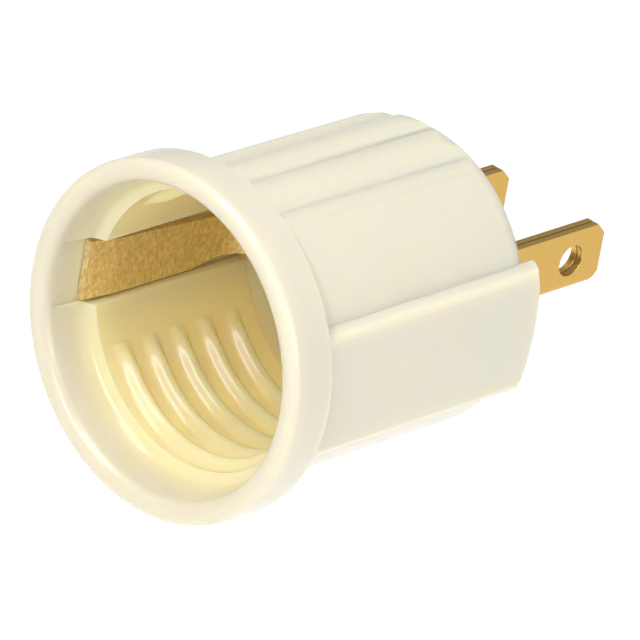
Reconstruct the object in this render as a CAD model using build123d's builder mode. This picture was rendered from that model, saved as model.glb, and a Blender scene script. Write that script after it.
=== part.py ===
from build123d import *
import os
from math import acos, cos, degrees, radians, sin, tan

os.makedirs("parts", exist_ok=True)

# Plug-in lamp holder. The axis runs along Y: the mouth faces -Y and the blades point along +Y.
# The origin is the centre of the back face, which lies against the outlet. Millimetres.

# Driving sizes of the moulded body
body_length = 35.2
rim_radius = 17.4
rim_length = 5.2
rim_front_rounding = 0.95
rim_back_chamfer = 0.25
rounding_flats = 4
shank_radius = 15.15
shank_draft = 0.2
shank_back_rounding = 3.3

# Grooves between the raised lobes, given by their angles from +X towards +Z
face_end_angle = 65.0
first_groove_angle = 70.4
lobe_count = 2
groove_depth = 0.55
lobe_crown = 0.1

# Flat finger pads on the two sides
pad_reach = 15.45
pad_half_width = 6.3
pad_flank = 0.15
pad_edge_rounding = 0.8
pad_end_radius = 16.9
pad_end_rounding = 2.5

# Socket
lip_radius = 15.15
lip_rounding = 1.25
counterbore_radius = 14.7
counterbore_depth = 4.5
shoulder_length = 0.9
bore_radius = 13.45
floor_depth = 25.5

# Thread ridges for a medium screw base
thread_pitch = 3.629
thread_crest_radius = 12.45
ridge_half_width = 1.35
ridge_shoulder_half_width = 0.85
ridge_shoulder_depth = 0.35
ridge_crest_half_width = 0.3
ridge_foot_radius = 14.0
ridge_count = 5
first_ridge_depth = 7.7
ridge_start_angle = 212.0
ridge_end_angle = 328.0

# Brass contacts
leaf_thickness = 0.7
leaf_gap = 0.1
blade_width = 6.35
blade_spacing = 12.7
blade_length = 18.2
blade_hole_radius = 1.6
blade_hole_from_face = 13.9
blade_corner = 1.1
fold_rounding = 0.7
leaf_overlap = 0.5
strip_width = 6.1
strip_taper = 1.3
strip_neck_length = 7.0
strip_face = 13.6
strip_bend_radius = 4.2
strip_front_depth = 4.4
strip_flare_length = 3.6
strip_flare_angle = 7.0
foot_bend_radius = 0.9
tongue_width = 4.6
tongue_rise_angle = 24.0
tongue_foot_length = 2.4
tongue_reach = 5.6
tongue_tip_length = 2.0
tongue_tip_angle = 30.0
tongue_bend_radius = 1.2

# Front end of the channel for the side contact
channel_front_depth = 1.3

# Clearances
slot_clearance = 0.12
slot_mouth_chamfer = 0.65
channel_clearance = 0.1
channel_side_gap = 0.35

# Places worked out from the sizes
mouth_y = -body_length
rim_back_y = mouth_y + rim_length
floor_y = mouth_y + floor_depth
shank_length = -rim_back_y
shank_root_y = mouth_y + rim_length / 2
shank_back_radius = shank_radius - shank_length * tan(radians(shank_draft))
blade_thickness = 2 * leaf_thickness + leaf_gap
blade_x = blade_spacing / 2
strip_back = strip_face + leaf_thickness
channel_depth = strip_back + channel_clearance
channel_half_width = strip_width / 2 + channel_side_gap
flare_y = mouth_y + strip_front_depth + strip_flare_length
flare_offset = strip_flare_length * tan(radians(strip_flare_angle))
blade_root_y = floor_y + foot_bend_radius + leaf_overlap


def ring_point(radius, angle):
    """Point of the cross-section at a radius and an angle from +X towards +Z."""
    return (radius * cos(radians(angle)), radius * sin(radians(angle)))


def rounded_corner(start, corner, end):
    """Points of a corner rounded by a few flats, between a start and an end as far from the corner."""
    turns = [radians(90 * step / rounding_flats) for step in range(rounding_flats + 1)]
    return [start + (corner - start) * sin(turn) + (end - corner) * (1 - cos(turn)) for turn in turns]


# Angle each lobe takes, so that the grooves stand evenly over the top and underneath
lobe_angle = (180 - 2 * first_groove_angle) / lobe_count


def draw_shank_outline(radius):
    """Two smooth sides; over the top and underneath, lobes between grooves, with a bevel at each end."""
    groove_radius = radius - groove_depth
    lobe_radius = radius + lobe_crown
    for turn in (0, 180):
        ThreePointArc(
            ring_point(radius, turn - face_end_angle),
            ring_point(radius, turn),
            ring_point(radius, turn + face_end_angle),
        )
        Line(
            ring_point(radius, turn + face_end_angle),
            ring_point(groove_radius, turn + first_groove_angle),
        )
        for lobe in range(lobe_count):
            start = turn + first_groove_angle + lobe * lobe_angle
            ThreePointArc(
                ring_point(groove_radius, start),
                ring_point(lobe_radius, start + lobe_angle / 2),
                ring_point(groove_radius, start + lobe_angle),
            )
        Line(
            ring_point(groove_radius, turn + 180 - first_groove_angle),
            ring_point(radius, turn + 180 - face_end_angle),
        )


def make_blank(radius, rounding):
    """Turned blank with a rounded back end. It widens towards the front, so it shapes the back end only."""
    corner = Vector(radius, 0)
    side = corner - Vector(0, rounding)
    end = corner - Vector(rounding, 0)
    with BuildPart() as blank:
        with BuildSketch(Plane.XY):
            with BuildLine():
                Polyline(
                    (0, 0),
                    (0, mouth_y),
                    (rim_radius, mouth_y),
                    *rounded_corner(side, corner, end),
                    close=True,
                )
            make_face()
        revolve(axis=Axis.Y)
    return blank.part


shank_blank = make_blank(shank_back_radius + lobe_crown, shank_back_rounding)
with BuildPart() as shank:
    # Two cross-sections, one inside the rim and one at the back face
    for section_y in (shank_root_y, 0):
        with BuildSketch(Plane.XZ.offset(-section_y)):
            with BuildLine():
                draw_shank_outline(shank_radius - (section_y - rim_back_y) * tan(radians(shank_draft)))
            make_face()
    loft(ruled=True)
    add(shank_blank, mode=Mode.INTERSECT)

pad_blank = make_blank(pad_end_radius, pad_end_rounding)
with BuildPart() as finger_pad:
    with BuildSketch(Plane.XZ.offset(-shank_root_y)):
        with BuildLine():
            Polyline(
                (bore_radius, -pad_half_width - pad_flank),
                (pad_reach, -pad_half_width),
                (pad_reach, pad_half_width),
                (bore_radius, pad_half_width + pad_flank),
                close=True,
            )
        make_face()
    extrude(amount=shank_root_y)
    long_edges = finger_pad.faces().sort_by(Axis.X)[-1].edges().filter_by(Axis.Y)
    fillet(long_edges, pad_edge_rounding)
    add(pad_blank, mode=Mode.INTERSECT)

# One thread ridge about the Z axis. It starts at angle 0 and runs past both ends of its sector.
runout_angle = degrees(acos(thread_crest_radius / bore_radius))
ridge_sector_angle = ridge_end_angle - ridge_start_angle
ridge_sweep_angle = ridge_sector_angle + runout_angle
ridge_height = thread_pitch * ridge_sweep_angle / 360
ridge_middle_angle = ridge_sweep_angle / 2
with BuildPart() as thread_ridge:
    with BuildLine() as ridge_path:
        Helix(thread_pitch, ridge_height, thread_crest_radius, center=(0, 0, -ridge_height / 2))
    with BuildSketch(Plane(ridge_path.line @ 0, x_dir=(1, 0, 0), z_dir=ridge_path.line % 0)):
        ridge_depth = ridge_foot_radius - thread_crest_radius
        Polygon(
            (ridge_depth, -ridge_half_width),
            (ridge_shoulder_depth, -ridge_shoulder_half_width),
            (0, -ridge_crest_half_width),
            (0, ridge_crest_half_width),
            (ridge_shoulder_depth, ridge_shoulder_half_width),
            (ridge_depth, ridge_half_width),
            align=None,
        )
    sweep(path=ridge_path.line, is_frenet=True)
    # The ridge fades into the wall at both ends, on a flat that touches its crest
    with BuildSketch():
        for side in (-1, 1):
            flat_angle = ridge_middle_angle + side * (ridge_sector_angle / 2 - runout_angle)
            touch = Vector(*ring_point(thread_crest_radius, flat_angle))
            along = Vector(*ring_point(2 * thread_crest_radius, flat_angle + side * 90))
            with BuildLine():
                Polyline((0, 0), touch, touch + along, close=True)
            make_face()
    extrude(amount=thread_pitch, both=True, mode=Mode.SUBTRACT)

with BuildPart() as socket_body:
    # Rim flange
    with BuildSketch(Plane.XY):
        rim_corner = Vector(rim_radius, mouth_y)
        rim_side = rim_corner + Vector(0, rim_front_rounding)
        rim_face = rim_corner - Vector(rim_front_rounding, 0)
        with BuildLine():
            Polyline(
                (rim_radius, rim_back_y - rim_back_chamfer),
                (rim_radius - rim_back_chamfer, rim_back_y),
                (0, rim_back_y),
                (0, mouth_y),
                *rounded_corner(rim_face, rim_corner, rim_side),
                close=True,
            )
        make_face()
    revolve(axis=Axis.Y)
    add(shank.part)
    add(finger_pad.part)
    add(finger_pad.part, rotation=(0, 180, 0))
    # Lip, counterbore, shoulder, bore and floor
    with BuildSketch(Plane.XY):
        lip_corner = Vector(lip_radius, mouth_y)
        lip_face = lip_corner + Vector(lip_rounding, 0)
        lip_wall = lip_corner + Vector(0, lip_rounding)
        shoulder_front = Vector(counterbore_radius, mouth_y + counterbore_depth)
        shoulder_back = Vector(bore_radius, shoulder_front.Y + shoulder_length)
        with BuildLine():
            Polyline(
                (bore_radius, floor_y),
                (0, floor_y),
                (0, mouth_y),
                *rounded_corner(lip_face, lip_corner, lip_wall),
                shoulder_front,
                shoulder_back,
                close=True,
            )
        make_face()
    revolve(axis=Axis.Y, mode=Mode.SUBTRACT)
    # Two facing sectors of thread ridges on one right-hand helix
    for turn in (0, 180):
        for row in range(ridge_count):
            middle = (ridge_start_angle + ridge_end_angle) / 2 - turn
            depth = first_ridge_depth + thread_pitch * (row + (ridge_start_angle - middle) / 360)
            ridge_plane = Plane(
                origin=(0, mouth_y + depth, 0),
                x_dir=(cos(radians(middle + ridge_middle_angle)), 0, sin(radians(middle + ridge_middle_angle))),
                z_dir=(0, 1, 0),
            )
            with Locations(ridge_plane):
                add(thread_ridge.part)
    # Channel for the side contact, deeper where the contact flares
    channel_wall = bore_radius - channel_half_width
    channel_mouth = channel_depth + flare_offset
    with BuildSketch(Plane.XY):
        with BuildLine():
            Polyline(
                (-channel_wall, mouth_y + channel_front_depth),
                (-channel_mouth, mouth_y + channel_front_depth),
                (-channel_mouth, mouth_y + strip_front_depth),
                (-channel_depth, flare_y),
                (-channel_depth, floor_y),
                (-channel_wall, floor_y),
                close=True,
            )
        make_face()
    extrude(amount=channel_half_width, both=True, mode=Mode.SUBTRACT)
    # Blade slots through the base, with chamfered mouths on the socket floor
    with BuildSketch(Plane.XZ):
        with Locations((-blade_x, 0), (blade_x, 0)):
            Rectangle(blade_thickness + 2 * slot_clearance, blade_width + 2 * slot_clearance)
    extrude(amount=body_length - floor_depth, mode=Mode.SUBTRACT)
    slot_edges = socket_body.edges().filter_by(Axis.Z).filter_by_position(Axis.Y, floor_y - 0.01, floor_y + 0.01)
    chamfer(slot_edges.filter_by(lambda e: abs(abs(e.center().X) - blade_x) < blade_thickness), slot_mouth_chamfer)


def make_blade(side):
    """Double-leaf blade folded along its lower edge, with a hole through both leaves."""
    with BuildPart() as blade:
        with BuildSketch(Plane.XZ.offset(-blade_root_y)):
            with Locations((side * blade_x, 0)):
                Rectangle(blade_thickness, blade_width)
            with Locations((side * blade_x, blade_thickness / 2)):
                Rectangle(leaf_gap, blade_width, mode=Mode.SUBTRACT)
        extrude(amount=-(blade_length - blade_root_y))
        fold_edges = blade.edges().filter_by(Axis.Y).group_by(Axis.Z)[0]
        fillet(fold_edges, fold_rounding)
        # Side outline with the tip's cut corners and the hole
        with BuildSketch(Plane.YZ) as outline:
            with Locations(((blade_length + blade_root_y) / 2, 0)):
                Rectangle(blade_length - blade_root_y, blade_width)
            chamfer(outline.vertices().group_by(Axis.X)[-1], blade_corner)
            with Locations((blade_hole_from_face, 0)):
                Circle(blade_hole_radius, mode=Mode.SUBTRACT)
        extrude(amount=blade_spacing, both=True, mode=Mode.INTERSECT)
    return blade.part


def make_strip(points, radii, width):
    """Bent strip of one leaf's thickness, its middle line given in the XY plane."""
    with BuildPart() as strip:
        with BuildLine() as middle_line:
            FilletPolyline(*points, radius=radii)
        with BuildSketch(Plane.XY):
            trace(middle_line.line, line_width=leaf_thickness)
        extrude(amount=width / 2, both=True)
    return strip.part


# Side contact: from the outer leaf of the neutral blade across the floor and up the channel
foot_middle_y = floor_y - leaf_thickness / 2
outer_leaf_x = -(blade_x + (leaf_gap + leaf_thickness) / 2)
strip_x = -(strip_face + leaf_thickness / 2)
strip_end_height = strip_width / 2 - strip_taper
neutral_blade = make_blade(-1)
side_strip = make_strip(
    [
        (outer_leaf_x, blade_root_y + leaf_overlap),
        (outer_leaf_x, foot_middle_y),
        (strip_x, foot_middle_y),
        (strip_x, flare_y),
        (strip_x - flare_offset, mouth_y + strip_front_depth),
    ],
    [foot_bend_radius, strip_bend_radius, strip_bend_radius],
    strip_width,
)
with BuildPart() as neutral_contact:
    add(side_strip)
    # Seen from the side, the strip narrows towards the floor
    with BuildSketch(Plane.YZ):
        with BuildLine():
            Polyline(
                (mouth_y, -strip_width / 2),
                (floor_y - strip_neck_length, -strip_width / 2),
                (floor_y, -strip_end_height),
                (0, -strip_end_height),
                (0, strip_end_height),
                (floor_y, strip_end_height),
                (mouth_y + strip_front_depth, strip_width / 2),
                (mouth_y, strip_width / 2),
                close=True,
            )
        make_face()
    extrude(amount=-rim_radius, mode=Mode.INTERSECT)
    add(neutral_blade)

# Centre contact: from the inner leaf of the line blade, a sprung tongue under the middle of the lamp
inner_leaf_x = blade_x - (leaf_gap + leaf_thickness) / 2
rise = radians(tongue_rise_angle)
fall = radians(tongue_tip_angle)
tongue_foot = Vector(inner_leaf_x - tongue_foot_length, foot_middle_y)
tongue_top = tongue_foot + Vector(-tongue_reach * cos(rise), -tongue_reach * sin(rise))
tongue_tip = tongue_top + Vector(-tongue_tip_length * cos(fall), tongue_tip_length * sin(fall))
line_blade = make_blade(1)
centre_tongue = make_strip(
    [
        (inner_leaf_x, blade_root_y + leaf_overlap),
        (inner_leaf_x, foot_middle_y),
        tongue_foot,
        tongue_top,
        tongue_tip,
    ],
    [foot_bend_radius, tongue_bend_radius, tongue_bend_radius],
    tongue_width,
)
with BuildPart() as line_contact:
    add(line_blade)
    add(centre_tongue)

for piece, name in (
    (socket_body, "socket_body"),
    (neutral_contact, "neutral_contact"),
    (line_contact, "line_contact"),
):
    piece.part.label = name
    export_step(piece.part, f"parts/{name}.step")
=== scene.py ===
from math import cos, pi, radians, sin

import bpy
from mathutils import Euler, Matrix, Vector


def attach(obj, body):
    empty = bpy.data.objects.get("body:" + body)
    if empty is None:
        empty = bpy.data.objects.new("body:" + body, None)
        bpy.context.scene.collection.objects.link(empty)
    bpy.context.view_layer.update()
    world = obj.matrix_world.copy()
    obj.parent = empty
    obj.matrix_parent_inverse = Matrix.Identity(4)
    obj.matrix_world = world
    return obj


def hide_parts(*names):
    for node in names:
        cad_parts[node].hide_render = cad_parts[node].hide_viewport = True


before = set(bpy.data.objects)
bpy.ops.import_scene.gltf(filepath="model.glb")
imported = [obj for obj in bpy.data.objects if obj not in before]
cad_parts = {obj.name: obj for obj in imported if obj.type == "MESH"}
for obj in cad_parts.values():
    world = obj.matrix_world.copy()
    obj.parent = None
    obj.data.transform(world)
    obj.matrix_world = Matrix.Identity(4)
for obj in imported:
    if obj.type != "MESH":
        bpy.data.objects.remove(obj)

bl_info = {
    "name": "Plug-in Lamp Holder",
    "version": (1, 0, 0),
    "blender": (4, 5, 0),
    "location": "View3D > Sidebar > Lamp Holder",
    "description": "Builds the finished look of a plug-in lamp holder around its solid parts",
    "category": "Object",
}

MM = 0.001

# Merging distances: the solids' facets are joined at the first, slivers go at the second
WELD = 0.001 * MM
SLIVER = 0.002 * MM

# The stretch of the bore that the ridges stand in, along the axis from the back face
BORE_FRONT = -29.75 * MM
BORE_BACK = -9.72 * MM
BORE_SIDES = 160

# How one ridge is built up: rings along it, cuts across its section, how deep its back and its feet
# lie in the wall, and the share of its section that is left at each end
RIDGE_RINGS = 40
RIDGE_CUTS = 13
RIDGE_ROOT = 0.35 * MM
RIDGE_SINK = 0.03 * MM
RIDGE_END_SIZE = 0.05

# Where the painted shade and bounced light of the bore, its warmer colour, start and end, along the
# axis
BOUNCE_SHADE_FRONT = (-34.6 * MM, -28.0 * MM)
BOUNCE_SHADE_BACK = (-8.6 * MM, -9.4 * MM)
MOUTH_Y, MOUTH_RADIUS = -30.6 * MM, 16.5 * MM
SHOULDER_Y, SHOULDER_RADIUS = -30.1 * MM, 14.3 * MM
BOUNCE_SHADE_EDGE = 0.15 * MM

# Where the brass turns from the blades to the duller strips with painted light, along the axis
STRIP_STEP = (-5.0 * MM, -10.0 * MM)

# Places of the lights and of the camera, in metres from the centre of the back face, and the
# camera's turn in degrees
AIM = (0, -0.02, 0)
KEY_PLACE = (-0.03, -0.18, 0.75)
SIDE_PLACE = (0.82, -0.08, 0.27)
GLINT_PLACE = (0.14, -0.5, 0.45)
CAMERA_PLACE = (0.41567, -0.51191, 0.31735)
CAMERA_TURN = (63.3762, -9.1533, 44.3542)


# Settings that a user would change


class MouldingSettings(bpy.types.PropertyGroup):
    """Sizes and colours of the moulded housing."""

    color: bpy.props.FloatVectorProperty(
        name="Ivory",
        description="Colour of the moulded plastic",
        subtype="COLOR",
        size=3,
        min=0.0,
        max=1.0,
        default=(0.562, 0.541, 0.445),
    )
    # Painted shade and bounced light: this golden colour stands in for light bouncing about in the
    # shaded depth of the bore
    bore_painted_bounce_color: bpy.props.FloatVectorProperty(
        name="Bore",
        description="Warmer colour of the plastic deep in the bore",
        subtype="COLOR",
        size=3,
        min=0.0,
        max=1.0,
        default=(0.765, 0.70, 0.42),
    )
    glow_depth: bpy.props.FloatProperty(
        name="Glow depth",
        description="How far light travels inside the plastic",
        unit="LENGTH",
        default=3.5 * MM,
    )
    roughness: bpy.props.FloatProperty(
        name="Roughness",
        description="How dull the outer surface is",
        min=0.0,
        max=1.0,
        default=0.27,
    )
    bore_roughness: bpy.props.FloatProperty(
        name="Bore roughness",
        description="How dull the wall of the bore is",
        min=0.0,
        max=1.0,
        default=0.25,
    )


class ThreadSettings(bpy.types.PropertyGroup):
    """Sizes of the thread ridges in the bore."""

    pitch: bpy.props.FloatProperty(
        name="Pitch",
        description="Distance from one turn of the thread to the next",
        unit="LENGTH",
        default=3.629 * MM,
    )
    rows: bpy.props.IntProperty(
        name="Rows",
        description="Ridges in each of the two facing sectors",
        min=1,
        default=5,
    )
    first_place: bpy.props.FloatProperty(
        name="First place",
        description="Where the first ridge starts, along the axis from the back face",
        unit="LENGTH",
        default=-27.15 * MM,
    )
    bore_radius: bpy.props.FloatProperty(
        name="Bore radius",
        description="Radius of the wall that the ridges stand on",
        unit="LENGTH",
        default=13.5 * MM,
    )
    height: bpy.props.FloatProperty(
        name="Height",
        description="How far a ridge stands out from the wall",
        unit="LENGTH",
        default=1.05 * MM,
    )
    half_width: bpy.props.FloatProperty(
        name="Half width",
        description="Distance from a ridge's crest to its foot",
        unit="LENGTH",
        default=1.42 * MM,
    )
    start_angle: bpy.props.FloatProperty(
        name="Start angle",
        description="Where a ridge rises from the wall, from +X towards +Z",
        subtype="ANGLE",
        default=radians(212),
    )
    end_angle: bpy.props.FloatProperty(
        name="End angle",
        description="Where a ridge sinks back into the wall",
        subtype="ANGLE",
        default=radians(328),
    )
    fade_angle: bpy.props.FloatProperty(
        name="Fade angle",
        description="Angle over which each end of a ridge rises to its full height",
        subtype="ANGLE",
        default=radians(15),
    )


class ContactSettings(bpy.types.PropertyGroup):
    """Colours of the brass contacts."""

    color: bpy.props.FloatVectorProperty(
        name="Brass",
        description="Colour of the rolled brass sheet",
        subtype="COLOR",
        size=3,
        min=0.0,
        max=1.0,
        default=(0.62, 0.39, 0.1),
    )
    edge_break: bpy.props.FloatProperty(
        name="Edge break",
        description="Width of the small slope along the cut edges",
        unit="LENGTH",
        default=0.07 * MM,
    )
    # Painted light: the two strip colours below are paler than the blades' brass, standing in for
    # light on the strips inside the socket; the darker marks among them are the sheet's own tool
    # marks
    strip_color: bpy.props.FloatVectorProperty(
        name="Strip",
        description="Paler colour of the strips inside the socket",
        subtype="COLOR",
        size=3,
        min=0.0,
        max=1.0,
        default=(0.98, 0.83, 0.49),
    )
    tool_mark_and_painted_light_color: bpy.props.FloatVectorProperty(
        name="Tool marks",
        description="Darker colour of the fine marks across the strips",
        subtype="COLOR",
        size=3,
        min=0.0,
        max=1.0,
        default=(0.78, 0.60, 0.29),
    )
    roughness: bpy.props.FloatProperty(
        name="Roughness",
        description="How dull the brass is",
        min=0.0,
        max=1.0,
        default=0.32,
    )


class StageSettings(bpy.types.PropertyGroup):
    """Floor, lights and camera."""

    floor_color: bpy.props.FloatVectorProperty(
        name="Floor",
        description="Colour of the floor",
        subtype="COLOR",
        size=3,
        min=0.0,
        max=1.0,
        default=(1.0, 1.0, 1.0),
    )
    floor_drop: bpy.props.FloatProperty(
        name="Floor drop",
        description="How far the floor lies below the lamp holder's axis",
        unit="LENGTH",
        default=90.0 * MM,
    )
    sky_strength: bpy.props.FloatProperty(
        name="Sky strength",
        description="Strength of the even light from all round",
        default=0.47,
    )
    lens: bpy.props.FloatProperty(
        name="Lens",
        description="Focal length of the camera",
        default=433.55,
        unit="CAMERA",
    )


# Shared helpers


def make_material(name):
    """A new material with its node tree and shader."""
    material = bpy.data.materials.new(name)
    material.use_nodes = True
    tree = material.node_tree
    shader = tree.nodes["Principled BSDF"]
    return material, tree, shader


def select_only(piece):
    """Select one object and make it the active one."""
    bpy.ops.object.select_all(action="DESELECT")
    piece.select_set(True)
    bpy.context.view_layer.objects.active = piece


def clean_copy(node_name, piece_name, smooth_angle):
    """A copy of a solid part with its facets joined, smooth where it turns less than an angle."""
    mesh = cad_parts[node_name].data.copy()
    mesh.name = piece_name
    mesh.materials.clear()
    piece = bpy.data.objects.new(piece_name, mesh)
    bpy.context.scene.collection.objects.link(piece)
    select_only(piece)
    bpy.ops.object.mode_set(mode="EDIT")
    bpy.ops.mesh.select_all(action="SELECT")
    bpy.ops.mesh.remove_doubles(threshold=WELD)
    bpy.ops.mesh.select_all(action="DESELECT")
    bpy.ops.object.mode_set(mode="OBJECT")
    if mesh.has_custom_normals:
        bpy.ops.mesh.customdata_custom_splitnormals_clear()
    bpy.ops.object.shade_smooth_by_angle(angle=smooth_angle)
    return piece


def add_noise(tree, place, scale, detail):
    """A noise over a place."""
    noise = tree.nodes.new("ShaderNodeTexNoise")
    noise.inputs["Scale"].default_value = scale
    noise.inputs["Detail"].default_value = detail
    tree.links.new(place, noise.inputs["Vector"])
    return noise


def add_bump(tree, shader, height, strength, distance):
    """A bump of a height on a shader."""
    bump = tree.nodes.new("ShaderNodeBump")
    bump.inputs["Strength"].default_value = strength
    bump.inputs["Distance"].default_value = distance
    tree.links.new(height, bump.inputs["Height"])
    tree.links.new(bump.outputs["Normal"], shader.inputs["Normal"])


def mix_colors(tree, factor, first, second):
    """A mix of two colours, each one either a plain colour or another node's output."""
    mix = tree.nodes.new("ShaderNodeMix")
    mix.data_type = "RGBA"
    tree.links.new(factor, mix.inputs["Factor"])
    for color, name in ((first, "A"), (second, "B")):
        if isinstance(color, bpy.types.NodeSocket):
            tree.links.new(color, mix.inputs[name])
        else:
            mix.inputs[name].default_value = (*color, 1.0)
    return mix.outputs["Result"]


def calculate(tree, operation, *values):
    """The result of a calculation, from plain numbers or other nodes' outputs."""
    node = tree.nodes.new("ShaderNodeMath")
    node.operation = operation
    for value, socket in zip(values, node.inputs):
        if isinstance(value, bpy.types.NodeSocket):
            tree.links.new(value, socket)
        else:
            socket.default_value = value
    return node.outputs["Value"]


def map_range(tree, value, source, target=(0.0, 1.0), interpolation="LINEAR"):
    """A value carried from one range to another."""
    step = tree.nodes.new("ShaderNodeMapRange")
    step.interpolation_type = interpolation
    step.inputs["From Min"].default_value, step.inputs["From Max"].default_value = source
    step.inputs["To Min"].default_value, step.inputs["To Max"].default_value = target
    tree.links.new(value, step.inputs["Value"])
    return step.outputs["Result"]


def soft_step(tree, value, start, end):
    """A smooth 0 to 1 step of a value from a start to an end."""
    return map_range(tree, value, (start, end), interpolation="SMOOTHSTEP")


def darken(color, share):
    """A share of a colour."""
    return [share * channel for channel in color]


def ivory_plastic(settings):
    """Satin ivory plastic that lets some light through, with a faint unevenness from the mould and
    painted shade and bounced light in the bore.
    """
    material, tree, shader = make_material("ivory_moulding")
    shader.inputs["IOR"].default_value = 1.52
    shader.inputs["Subsurface Weight"].default_value = 1.0
    shader.inputs["Subsurface Radius"].default_value = (1.0, 0.72, 0.34)
    shader.inputs["Subsurface Scale"].default_value = settings.glow_depth
    place = tree.nodes.new("ShaderNodeTexCoord").outputs["Object"]
    cloud = add_noise(tree, place, scale=90.0, detail=3.0)
    shade = darken(settings.color, share=0.965)
    tint = mix_colors(tree, cloud.outputs["Fac"], settings.color, shade)
    # The mould's surface is not quite even
    grain = add_noise(tree, place, scale=700.0, detail=2.0)
    add_bump(tree, shader, grain.outputs["Fac"], strength=0.12, distance=0.015 * MM)
    # Painted shade and bounced light: the bore turns golden within its radius, behind the mouth, in
    # front of the floor
    flatten = tree.nodes.new("ShaderNodeMapping")
    flatten.inputs["Scale"].default_value = (1.0, 0.0, 1.0)
    reach = tree.nodes.new("ShaderNodeVectorMath")
    reach.operation = "LENGTH"
    split = tree.nodes.new("ShaderNodeSeparateXYZ")
    tree.links.new(place, flatten.inputs["Vector"])
    tree.links.new(flatten.outputs["Vector"], reach.inputs[0])
    tree.links.new(place, split.inputs["Vector"])
    along = split.outputs["Y"]
    # The mouth in front of the shoulder is wider than the bore
    limit = map_range(tree, along, (MOUTH_Y, SHOULDER_Y), (MOUTH_RADIUS, SHOULDER_RADIUS))
    past = calculate(tree, "SUBTRACT", reach.outputs["Value"], limit)
    inside = soft_step(tree, past, BOUNCE_SHADE_EDGE, -BOUNCE_SHADE_EDGE)
    painted_bounce_and_core = calculate(
        tree,
        "MULTIPLY",
        calculate(tree, "MULTIPLY", inside, soft_step(tree, along, *BOUNCE_SHADE_FRONT)),
        soft_step(tree, along, *BOUNCE_SHADE_BACK),
    )
    # Mix in the painted shade and bounced light of the bore, a golden colour that is not the
    # plastic's own
    bore_with_painted_bounce = mix_colors(tree, painted_bounce_and_core, tint, settings.bore_painted_bounce_color)
    # The core that forms the bore is a little smoother than the outer mould
    gloss = map_range(tree, painted_bounce_and_core, (0.0, 1.0), (settings.roughness, settings.bore_roughness))
    tree.links.new(gloss, shader.inputs["Roughness"])
    tree.links.new(bore_with_painted_bounce, shader.inputs["Base Color"])
    return material


def rolled_brass(settings):
    """Rolled brass sheet with a fine grain, bright on the blades and dull inside the socket, where
    the strips' paler colour is painted light.
    """
    material, tree, shader = make_material("contact_brass")
    shader.inputs["Metallic"].default_value = 1.0
    place = tree.nodes.new("ShaderNodeTexCoord").outputs["Object"]
    stretch = tree.nodes.new("ShaderNodeMapping")
    stretch.inputs["Scale"].default_value = (2900.0, 2900.0, 1900.0)
    split = tree.nodes.new("ShaderNodeSeparateXYZ")
    tree.links.new(place, stretch.inputs["Vector"])
    tree.links.new(place, split.inputs["Vector"])
    drag = add_noise(tree, stretch.outputs["Vector"], scale=1.0, detail=5.0)
    drag.inputs["Roughness"].default_value = 0.65
    grain = drag.outputs["Fac"]
    tint = mix_colors(tree, grain, darken(settings.color, share=0.84), settings.color)
    dullness = (settings.roughness - 0.06, settings.roughness + 0.08)
    rough = map_range(tree, grain, (0.0, 1.0), target=dullness)
    # The strips inside the socket are duller than the blades, with tool marks, and their paler
    # colour is painted light
    dull = soft_step(tree, split.outputs["Y"], *STRIP_STEP)
    marks = map_range(tree, grain, source=(0.38, 0.62))
    strip_marks_and_painted_light = mix_colors(tree, marks, settings.tool_mark_and_painted_light_color, settings.strip_color)
    brass_with_painted_light = mix_colors(tree, dull, tint, strip_marks_and_painted_light)
    duller = calculate(tree, "MULTIPLY_ADD", dull, 0.2, rough)
    tree.links.new(brass_with_painted_light, shader.inputs["Base Color"])
    tree.links.new(duller, shader.inputs["Roughness"])
    add_bump(tree, shader, grain, strength=0.35, distance=0.03 * MM)
    return material


# Pieces


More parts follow.
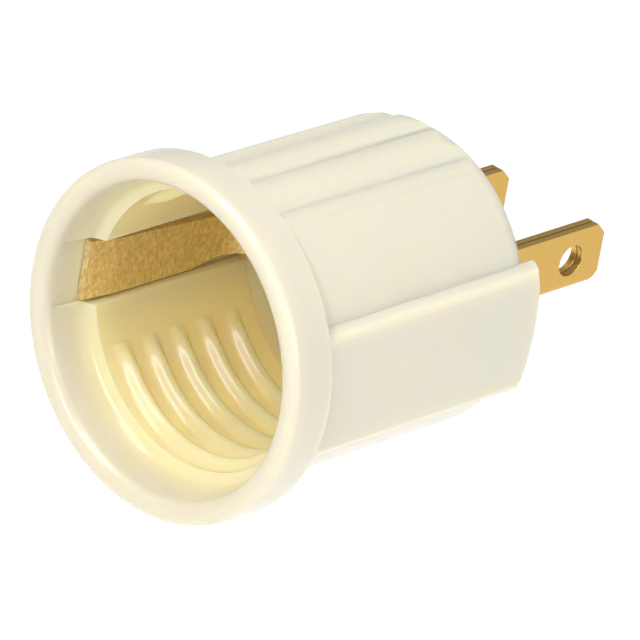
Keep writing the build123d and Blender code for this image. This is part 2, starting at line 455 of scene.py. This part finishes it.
def model_ridge(settings):
    """One thread ridge: a bell-shaped section carried along the helix, low at both ends."""
    bpy.ops.object.select_all(action="DESELECT")
    bpy.ops.mesh.primitive_plane_add(size=2 * settings.half_width, location=(0, 0, 0))
    ridge = bpy.context.object
    mesh = ridge.data
    bpy.ops.object.mode_set(mode="EDIT")
    bpy.ops.mesh.select_all(action="DESELECT")
    bpy.ops.object.mode_set(mode="OBJECT")
    for edge in mesh.edges:
        edge.select = all(mesh.vertices[index].co.x < 0 for index in edge.vertices)
    bpy.ops.object.mode_set(mode="EDIT")
    bpy.ops.mesh.select_mode(type="EDGE")
    bpy.ops.mesh.subdivide(number_cuts=RIDGE_CUTS)
    bpy.ops.object.mode_set(mode="OBJECT")
    # The side towards the axis takes the bell shape, the other side lies inside the wall
    foot_radius = settings.bore_radius + RIDGE_SINK
    for vertex in mesh.vertices:
        if vertex.co.x < 0:
            swell = cos(0.5 * pi * vertex.co.y / settings.half_width) ** 2
            vertex.co.x = foot_radius - (settings.height + RIDGE_SINK) * swell
        else:
            vertex.co.x = settings.bore_radius + RIDGE_ROOT
    # Carry the section round the bore, each ring a little further along the thread
    turn = settings.end_angle - settings.start_angle
    step = turn / RIDGE_RINGS
    advance = settings.pitch * step / (2 * pi)
    bpy.ops.object.mode_set(mode="EDIT")
    bpy.ops.mesh.select_mode(type="FACE")
    bpy.ops.mesh.select_all(action="SELECT")
    bpy.ops.transform.rotate(value=settings.start_angle, orient_axis="Y", center_override=(0, 0, 0))
    bpy.ops.transform.translate(value=(0, settings.first_place, 0))
    size = 1.0
    for ring in range(RIDGE_RINGS + 1):
        angle = settings.start_angle + ring * step
        place = settings.first_place - ring * advance
        if ring > 0:
            bpy.ops.mesh.extrude_region_move()
            bpy.ops.transform.rotate(value=step, orient_axis="Y", center_override=(0, 0, 0))
            bpy.ops.transform.translate(value=(0, -advance, 0))
        from_end = min(ring, RIDGE_RINGS - ring) * step
        rise = min(1.0, from_end / settings.fade_angle)
        new_size = RIDGE_END_SIZE + (1 - RIDGE_END_SIZE) * sin(0.5 * pi * rise)
        foot = (settings.bore_radius * cos(angle), place, settings.bore_radius * sin(angle))
        ratio = new_size / size
        bpy.ops.transform.resize(value=(ratio, 1, ratio), center_override=foot)
        size = new_size
    bpy.ops.mesh.select_all(action="SELECT")
    bpy.ops.mesh.normals_make_consistent(inside=False)
    bpy.ops.object.mode_set(mode="OBJECT")
    return ridge


def model_thread(settings):
    """All the ridges: copies of one, a pitch apart, in two facing sectors."""
    first = model_ridge(settings)
    ridges = [first]
    for half_turns in range(1, 2 * settings.rows):
        # Every second ridge stands in the opposite sector, half a pitch further
        turn = pi * (half_turns % 2)
        select_only(first)
        bpy.ops.object.duplicate()
        bpy.ops.transform.translate(value=(0, settings.pitch * half_turns / 2, 0))
        bpy.ops.transform.rotate(value=turn, orient_axis="Y", center_override=(0, 0, 0))
        ridges.append(bpy.context.object)
    bpy.ops.object.select_all(action="DESELECT")
    for ridge in ridges:
        ridge.select_set(True)
    bpy.context.view_layer.objects.active = first
    bpy.ops.object.join()
    bpy.ops.object.transform_apply(location=True, rotation=True, scale=True)
    return first


def combine(piece, tool, operation):
    """Cut a piece with a tool shape, or join the two, and take the tool away."""
    select_only(piece)
    step = piece.modifiers.new("combine", "BOOLEAN")
    step.operation = operation
    # This solver gives the same mesh each time, where the exact one's slivers vary
    step.solver = "MANIFOLD"
    step.object = tool
    bpy.ops.object.modifier_apply(modifier=step.name)
    # It also leaves an empty material slot
    piece.data.materials.clear()
    bpy.data.objects.remove(tool)


def break_edges(piece, width):
    """Take the sharpness off the cut edges of the sheet."""
    select_only(piece)
    bpy.ops.object.mode_set(mode="EDIT")
    bpy.ops.mesh.select_all(action="SELECT")
    bpy.ops.mesh.dissolve_limited(angle_limit=radians(0.5))
    bpy.ops.mesh.select_all(action="DESELECT")
    bpy.ops.object.mode_set(mode="OBJECT")
    step = piece.modifiers.new("break_edges", "BEVEL")
    step.width = width
    step.segments = 2
    step.limit_method = "ANGLE"
    step.angle_limit = radians(40)
    step.miter_outer = "MITER_ARC"
    bpy.ops.object.modifier_apply(modifier=step.name)


def shade_round(piece, angle):
    """Merge slivers, then shade smooth, with an edge only where it turns by more than an angle.

    The large faces keep their own direction, so that only the roundings shade round.
    """
    select_only(piece)
    bpy.ops.object.mode_set(mode="EDIT")
    bpy.ops.mesh.select_all(action="SELECT")
    bpy.ops.mesh.remove_doubles(threshold=SLIVER)
    bpy.ops.mesh.dissolve_degenerate(threshold=SLIVER)
    bpy.ops.mesh.select_all(action="SELECT")
    bpy.ops.mesh.quads_convert_to_tris(quad_method="BEAUTY", ngon_method="BEAUTY")
    bpy.ops.mesh.select_all(action="DESELECT")
    bpy.ops.object.mode_set(mode="OBJECT")
    bpy.ops.object.shade_smooth_by_angle(angle=angle)
    weigh = piece.modifiers.new("weigh", "WEIGHTED_NORMAL")
    weigh.mode = "FACE_AREA_WITH_ANGLE"
    weigh.keep_sharp = True
    bpy.ops.object.modifier_apply(modifier=weigh.name)


class LAMPHOLDER_OT_housing(bpy.types.Operator):
    """Build the moulded ivory housing"""

    bl_idname = "lampholder.housing"
    bl_label = "Moulded Housing"

    def execute(self, context):
        settings = context.scene.lamp_holder_moulding
        thread = context.scene.lamp_holder_thread
        piece = clean_copy("socket_body", "moulded_housing", smooth_angle=radians(50))
        # The plain ridges give way to rounded ones
        bpy.ops.object.select_all(action="DESELECT")
        bpy.ops.mesh.primitive_cylinder_add(
            vertices=BORE_SIDES,
            radius=thread.bore_radius,
            depth=BORE_BACK - BORE_FRONT,
            location=(0, (BORE_BACK + BORE_FRONT) / 2, 0),
            rotation=(radians(90), 0, 0),
        )
        combine(piece, context.object, "DIFFERENCE")
        combine(piece, model_thread(thread), "UNION")
        shade_round(piece, angle=radians(60))
        piece.data.materials.append(ivory_plastic(settings))
        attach(piece, "root")
        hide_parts("socket_body")
        return {"FINISHED"}


class LAMPHOLDER_OT_contacts(bpy.types.Operator):
    """Build the two folded brass contacts"""

    bl_idname = "lampholder.contacts"
    bl_label = "Brass Contacts"

    def execute(self, context):
        settings = context.scene.lamp_holder_contacts
        brass = rolled_brass(settings)
        for node_name, piece_name in (
            ("neutral_contact", "side_contact"),
            ("line_contact", "centre_contact"),
        ):
            piece = clean_copy(node_name, piece_name, smooth_angle=radians(32))
            break_edges(piece, settings.edge_break)
            shade_round(piece, angle=radians(45))
            piece.data.materials.append(brass)
            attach(piece, "root")
            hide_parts(node_name)
        return {"FINISHED"}


def add_area_light(name, place, size, watts):
    """A soft square light at a place, turned to the lamp holder."""
    bpy.ops.object.light_add(type="AREA", location=place)
    light = bpy.context.object
    light.name = name
    light.data.shape = "SQUARE"
    light.data.size = size
    light.data.energy = watts
    light.rotation_euler = (Vector(AIM) - Vector(place)).to_track_quat("-Z", "Y").to_euler()
    return light


class LAMPHOLDER_OT_stage(bpy.types.Operator):
    """Set up the floor, the lights and the camera"""

    bl_idname = "lampholder.stage"
    bl_label = "Floor, Lights and Camera"

    def execute(self, context):
        settings = context.scene.lamp_holder_stage
        bpy.ops.object.select_all(action="DESELECT")
        bpy.ops.mesh.primitive_plane_add(size=12.0, location=(0, 0, -settings.floor_drop))
        floor = context.object
        floor.name = "pale_floor"
        material, _, shader = make_material("pale_floor")
        shader.inputs["Base Color"].default_value = (*settings.floor_color, 1.0)
        shader.inputs["Roughness"].default_value = 0.9
        floor.data.materials.append(material)

        world = bpy.data.worlds.new("studio")
        context.scene.world = world
        world.use_nodes = True
        background = world.node_tree.nodes["Background"]
        background.inputs["Color"].default_value = (1.0, 1.0, 1.0, 1.0)
        background.inputs["Strength"].default_value = settings.sky_strength
        add_area_light("key_light", KEY_PLACE, size=0.4, watts=4.4)
        add_area_light("side_light", SIDE_PLACE, size=0.4, watts=3.0)
        glint = add_area_light("glint_light", GLINT_PLACE, size=0.7, watts=2.6)
        glint.data.shape = "RECTANGLE"
        glint.data.size_y = 0.07
        # Rolled, so that the strip of light follows the ridges in the bore
        glint.rotation_euler.rotate_axis("Z", radians(-36.6))
        context.scene.view_settings.view_transform = "Standard"

        camera_data = bpy.data.cameras.new("camera")
        camera_data.lens = settings.lens
        camera_data.sensor_width = 36.0
        camera_data.clip_start = 0.05
        camera_data.clip_end = 50.0
        camera = bpy.data.objects.new("camera", camera_data)
        context.scene.collection.objects.link(camera)
        camera.location = CAMERA_PLACE
        camera.rotation_euler = Euler([radians(turn) for turn in CAMERA_TURN], "XYZ")
        context.scene.camera = camera
        return {"FINISHED"}


class LAMPHOLDER_PT_panel(bpy.types.Panel):
    """Lists the steps that build the lamp holder"""

    bl_idname = "LAMPHOLDER_PT_panel"
    bl_label = "Lamp Holder"
    bl_space_type = "VIEW_3D"
    bl_region_type = "UI"
    bl_category = "Lamp Holder"

    def draw(self, context):
        for group_name in GROUPS:
            settings = getattr(context.scene, group_name)
            box = self.layout.box()
            for name in settings.__annotations__:
                box.prop(settings, name)
        for step in STEPS:
            self.layout.operator(step.bl_idname)


STEPS = (LAMPHOLDER_OT_housing, LAMPHOLDER_OT_contacts, LAMPHOLDER_OT_stage)
GROUPS = {
    "lamp_holder_moulding": MouldingSettings,
    "lamp_holder_thread": ThreadSettings,
    "lamp_holder_contacts": ContactSettings,
    "lamp_holder_stage": StageSettings,
}


def register():
    for name, group in GROUPS.items():
        bpy.utils.register_class(group)
        setattr(bpy.types.Scene, name, bpy.props.PointerProperty(type=group))
    for step in STEPS:
        bpy.utils.register_class(step)
    bpy.utils.register_class(LAMPHOLDER_PT_panel)


def unregister():
    bpy.utils.unregister_class(LAMPHOLDER_PT_panel)
    for step in reversed(STEPS):
        bpy.utils.unregister_class(step)
    for name, group in GROUPS.items():
        delattr(bpy.types.Scene, name)
        bpy.utils.unregister_class(group)


def main():
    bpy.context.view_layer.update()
    register()
    bpy.ops.lampholder.housing()
    bpy.ops.lampholder.contacts()
    bpy.ops.lampholder.stage()


if __name__ == "__main__":
    main()
